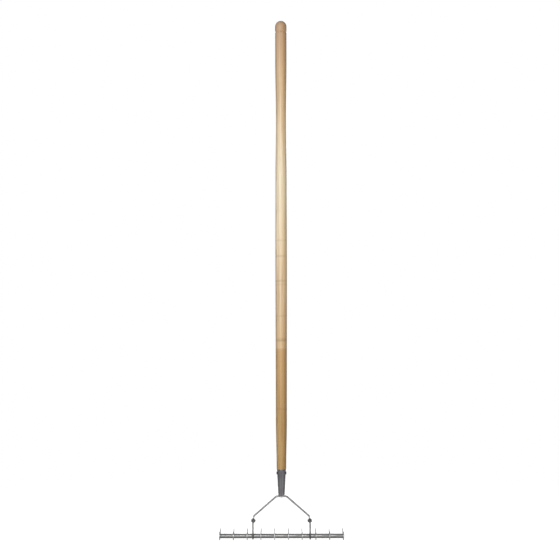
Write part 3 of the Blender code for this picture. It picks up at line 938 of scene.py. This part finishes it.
def make_blade(index, metals):
    """A sickle, ground along its outer edge up to the tip, as stamped inside and polished at its hub."""
    node = f"blade_{index:02d}"
    low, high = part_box(node)
    middle = (low.x + high.x) / 2
    half = (high.x - low.x) / 2
    outer, inner, around = blade_curves(low, high)
    outline = outer + inner + around
    count = len(outline)
    slope = (half - GROUND_EDGE_HALF) / GRIND_WIDTH
    work = bmesh.new()
    edges = {1: [], -1: []}
    cores = {1: [], -1: []}
    for i, point in enumerate(outline):
        inward, ground, room = grinding(i, outer, inner, outline)
        share = ground if i < len(outer) else 0.25 * ground
        width = BLADE_CHAMFER + (GRIND_WIDTH - BLADE_CHAMFER) * share
        width = min(width, max(room, 0.2 * MM))
        edge = half - BLADE_CHAMFER + (GROUND_EDGE_HALF - half + BLADE_CHAMFER) * ground
        core = min(half, edge + max(slope * width, BLADE_CHAMFER * (1 - ground)))
        inside = point + inward * width
        for face in (1, -1):
            edges[face].append(work.verts.new((middle + face * edge, point.x, ROD_Z + point.y)))
            cores[face].append(work.verts.new((middle + face * core, inside.x, ROD_Z + inside.y)))
    bore = {}
    for face in (1, -1):
        bore[face] = [work.verts.new((middle + face * half, p.x, p.y)) for p in square_hole()]
    for i in range(count):
        j = (i + 1) % count
        edge = work.faces.new([edges[1][i], edges[1][j], edges[-1][j], edges[-1][i]])
        edge.material_index = 2 if len(outer) <= i + 1 < len(outer) + len(inner) else 1
        for face in (1, -1):
            band = work.faces.new([edges[face][i], edges[face][j], cores[face][j], cores[face][i]])
            band.material_index = 1 if len(outer) // 5 < i < len(outer) - 1 else 0
    for i in range(4):
        j = (i + 1) % 4
        work.faces.new([bore[1][i], bore[1][j], bore[-1][j], bore[-1][i]])
    for face in (1, -1):
        rim = [work.edges.get((cores[face][i], cores[face][(i + 1) % count])) for i in range(count)]
        rim += [work.edges.get((bore[face][i], bore[face][(i + 1) % 4])) for i in range(4)]
        bmesh.ops.triangle_fill(work, use_beauty=True, edges=rim)
    flat_shaded_faces(add_piece(f"{node}_sickle", work, metals, "stainless", HEAD, node))


def make_spacer(index, metal):
    """A tube with its cut ends lightly rounded."""
    node = f"spacer_{index:02d}"
    low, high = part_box(node)
    soft = 0.35 * MM
    bore = SPACER_RADIUS - SPACER_WALL
    profile = [(bore, low.x + soft), (bore + soft, low.x), (SPACER_RADIUS - soft, low.x)]
    turns = [math.radians(a) for a in (22.5, 45, 67.5, 90)]
    ends = [(SPACER_RADIUS - soft * (1 - math.sin(t)), soft * (1 - math.cos(t))) for t in turns]
    profile += [(radius, low.x + inset) for radius, inset in ends]
    profile += [(radius, high.x - inset) for radius, inset in reversed(ends)]
    profile += [(SPACER_RADIUS - soft, high.x), (bore + soft, high.x), (bore, high.x - soft)]
    profile.append(profile[0])
    work = turn(profile, about_x(ROD_Z), 72)
    bmesh.ops.remove_doubles(work, verts=work.verts, dist=1e-7)
    add_piece(f"{node}_tube", work, [metal], "zinc", HEAD, node)


def make_rod(metal):
    """A square bar whose ends are hammered over the outermost blades."""
    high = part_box("head_rod")[1]
    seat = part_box("blade_10")[1].x + SEAT_GAP
    head_radius = high.y
    inside_box = 0.985  # leaves room for the dents
    flat = 0.3  # of the head's radius
    round_from = high.x - 0.06 * MM
    dome = high.x - seat - 0.4 * MM

    def bar(angle):
        return ROD_SIDE / 2 / max(abs(math.cos(angle)), abs(math.sin(angle)))

    half = [(0, high.x - 0.08 * MM), (head_radius * flat, round_from)]
    for i in range(1, 9):
        angle = math.radians(90) * i / 8
        reach = head_radius * (flat + (1 - flat) * math.sin(angle))
        half.append((dented(reach * inside_box), round_from - dome * (1 - math.cos(angle))))
    half.append((dented(head_radius * inside_box), seat + 0.1 * MM))
    half += [(head_radius * 0.95, seat), (bar, seat)]
    profile = half + [(radius, -along) for radius, along in reversed(half)]
    add_piece("head_rod_peened", turn(profile, about_x(ROD_Z), 64), [metal], "zinc", HEAD, "head_rod")


# Studio


def make_floor():
    """A pale disc under the head that fades out into the white round it."""
    bpy.ops.mesh.primitive_circle_add(vertices=96, radius=FLOOR_RADIUS, fill_type="NGON")
    floor = bpy.context.object
    floor.name = "floor"
    floor.location = (0, 0, CAD_BOX[0].z - 0.5 * MM)
    surface = Surface("floor_pale", 0.0, 0.9)
    surface.shader.inputs["Base Color"].default_value = (0.9, 0.9, 0.9, 1)
    surface.shader.inputs["Emission Color"].default_value = (1, 1, 1, 1)
    surface.shader.inputs["Emission Strength"].default_value = FLOOR_BRIGHTNESS
    distance = surface.node("VectorMath", {0: surface.place}, 1, operation="LENGTH")
    fading = (FLOOR_FADES_FROM, FLOOR_RADIUS * 0.95)
    surface.shader_input("Alpha", surface.between(distance, fading, (1.0, 0.0), "SMOOTHERSTEP"))
    floor.data.materials.append(surface.material)
    floor.visible_glossy = False
    floor.visible_diffuse = False


def make_world():
    """White to the camera. The rake mirrors a room instead, and gets a little of its light.

    The room is palest in front and above and dim to the sides. It has a bright strip at the horizon behind
    the camera, and it glows low down to the left and right and at its two ends.
    """
    world = bpy.data.worlds.new("studio")
    bpy.context.scene.world = world
    world.use_nodes = True
    world.node_tree.nodes.clear()
    nodes = Nodes(world.node_tree)

    def step(value, limits, results):
        return nodes.between(value, limits, results, "SMOOTHSTEP")

    def product(first, second):
        return nodes.math("MULTIPLY", first, second)

    direction = nodes.node("TexCoord", {}, "Generated")
    x, y, z = [nodes.axis(direction, index) for index in range(3)]
    sideways = nodes.math("ABSOLUTE", x)
    steep = product(nodes.math("ABSOLUTE", z), 0.9)
    frontal = nodes.math("ADD", steep, nodes.math("ABSOLUTE", y))
    front = product(
        step(z, (0.05, 0.8), (ROOM_FRONT, ROOM_ABOVE)), step(z, (-0.8, -0.3), (ROOM_BELOW, 1.0))
    )
    front = product(front, step(y, (0.0, 0.5), (1.0, ROOM_BACK)))
    room = step(frontal, (0.4, 1.0), (ROOM_SIDES, front))
    from_strip = nodes.math("ABSOLUTE", nodes.math("SUBTRACT", z, HORIZON_Z))
    strip = product(step(from_strip, (0.10, 0.18), (HORIZON, 0.0)), step(y, (-0.95, -0.85), (1.0, 0.0)))
    floor = product(step(z, (-0.45, -0.2), (FLOOR_GLOW, 0.0)), step(sideways, (0.2, 0.5), (0.0, 1.0)))
    ends = step(sideways, (0.95, 0.99), (0.0, SIDE_GLOW))
    mirrored = room
    for part in (strip, floor, ends):
        mirrored = nodes.math("ADD", mirrored, part)
    rays = nodes.tree.nodes.new("ShaderNodeLightPath").outputs
    cast = product(room, ROOM_DIFFUSE)
    strength = nodes.between(rays["Is Diffuse Ray"], (0.0, 1.0), (mirrored, cast))
    grey = nodes.node("Background", {"Color": (1, 1, 1, 1), "Strength": strength})
    white = nodes.node("Background", {"Color": (1, 1, 1, 1), "Strength": 1.0})
    chosen = nodes.node("MixShader", {0: rays["Is Camera Ray"], 1: grey, 2: white})
    shown = nodes.tree.nodes.new("ShaderNodeOutputWorld")
    nodes.tree.links.new(chosen, shown.inputs["Surface"])


def make_light(name, place, panel, brightness, glossy):
    """A soft panel turned to the rake's middle, which lights the pieces or only shows in their shine."""
    width, height = panel
    ground = CAD_BOX[0].z
    light = bpy.data.lights.new(name, "AREA")
    light.shape = "RECTANGLE"
    light.size = width
    light.size_y = height
    light.energy = brightness * width * height * math.pi
    obj = bpy.data.objects.new(name, light)
    bpy.context.scene.collection.objects.link(obj)
    obj.location = (place[0], place[1], ground + place[2])
    aim = Vector((0, 0, ground + HEIGHT / 2)) - obj.location
    obj.rotation_euler = aim.to_track_quat("-Z", "Y").to_euler()
    obj.visible_glossy = glossy
    obj.visible_diffuse = not glossy
    obj.visible_camera = False


def make_studio():
    """Places of lights are metres from the handle's axis and above the ground."""
    make_world()
    make_floor()
    make_light("key", (-0.3, -2.75, 1.15), TALL_PANEL, KEY, False)
    make_light("back_key", (0.3, 2.75, 1.15), TALL_PANEL, BACK_KEY, False)
    for side, word in SIDES:
        make_light(f"fill_{word}", (side * 2.2, 0.6, 0.9), SIDE_PANEL, SIDE_FILL, False)
    make_light("shine", (-0.3, -2.2, 1.25), SHINE_PANEL, SHINE, True)
    make_light("back_shine", (0.3, 2.2, 1.25), SHINE_PANEL, BACK_SHINE, True)
    bpy.context.scene.view_settings.view_transform = "Standard"


def make_camera():
    """Level, at about half the rake's height, on the side away from the blades' tips."""
    camera = bpy.data.cameras.new("camera")
    camera.lens = CAMERA_LENS
    camera.sensor_width = CAMERA_SENSOR
    camera.clip_end = 50
    obj = bpy.data.objects.new("camera", camera)
    bpy.context.scene.collection.objects.link(obj)
    obj.location = (CAMERA_X, -CAMERA_DISTANCE, CAD_BOX[0].z + CAMERA_HEIGHT)
    obj.rotation_euler = (math.radians(90), CAMERA_ROLL, 0)
    bpy.context.scene.camera = obj


def make_rake():
    zinc = plated("zinc_plate", (0.37, 0.38, 0.39), (0.49, 0.48, 0.47), 0.27)
    # A far darker copy of the zinc for the brackets: painted shade.
    link = plated("zinc_link_painted_shade", (0.12, 0.125, 0.13), (0.18, 0.176, 0.17), 0.38)
    weld = plated("zinc_weld", (0.66, 0.66, 0.66), (0.82, 0.81, 0.80), 0.30)
    tube = plated("zinc_tube", (0.36, 0.375, 0.375), (0.45, 0.435, 0.42), 0.17)
    dark = plated("dark_plate", (0.11, 0.11, 0.11), (0.18, 0.18, 0.18), 0.34)
    brushed = stainless(
        "stainless_brushed", (500, 60, 2600), (0.52, 0.53, 0.53), (0.70, 0.705, 0.70), (0.17, 0.30)
    )
    ground = stainless(
        "stainless_ground", (500, 2600, 300), (0.78, 0.79, 0.79), (0.90, 0.905, 0.90), (0.10, 0.18)
    )
    stamped = stainless(
        "stainless_stamped", (60, 900, 900), (0.24, 0.24, 0.24), (0.36, 0.36, 0.355), (0.30, 0.45)
    )
    make_handle()
    make_socket(socket_paint())
    make_rivet(dark)
    make_bow(zinc)
    make_weld(weld)
    for side, word in SIDES:
        make_bolt(side, word, dark)
        make_nut(side, word, dark)
        make_bracket(word, link)
    for index in range(1, 11):
        make_blade(index, [brushed, ground, stamped])
    for index in range(1, 12):
        make_spacer(index, tube)
    make_rod(zinc)


make_rake()
make_studio()
make_camera()
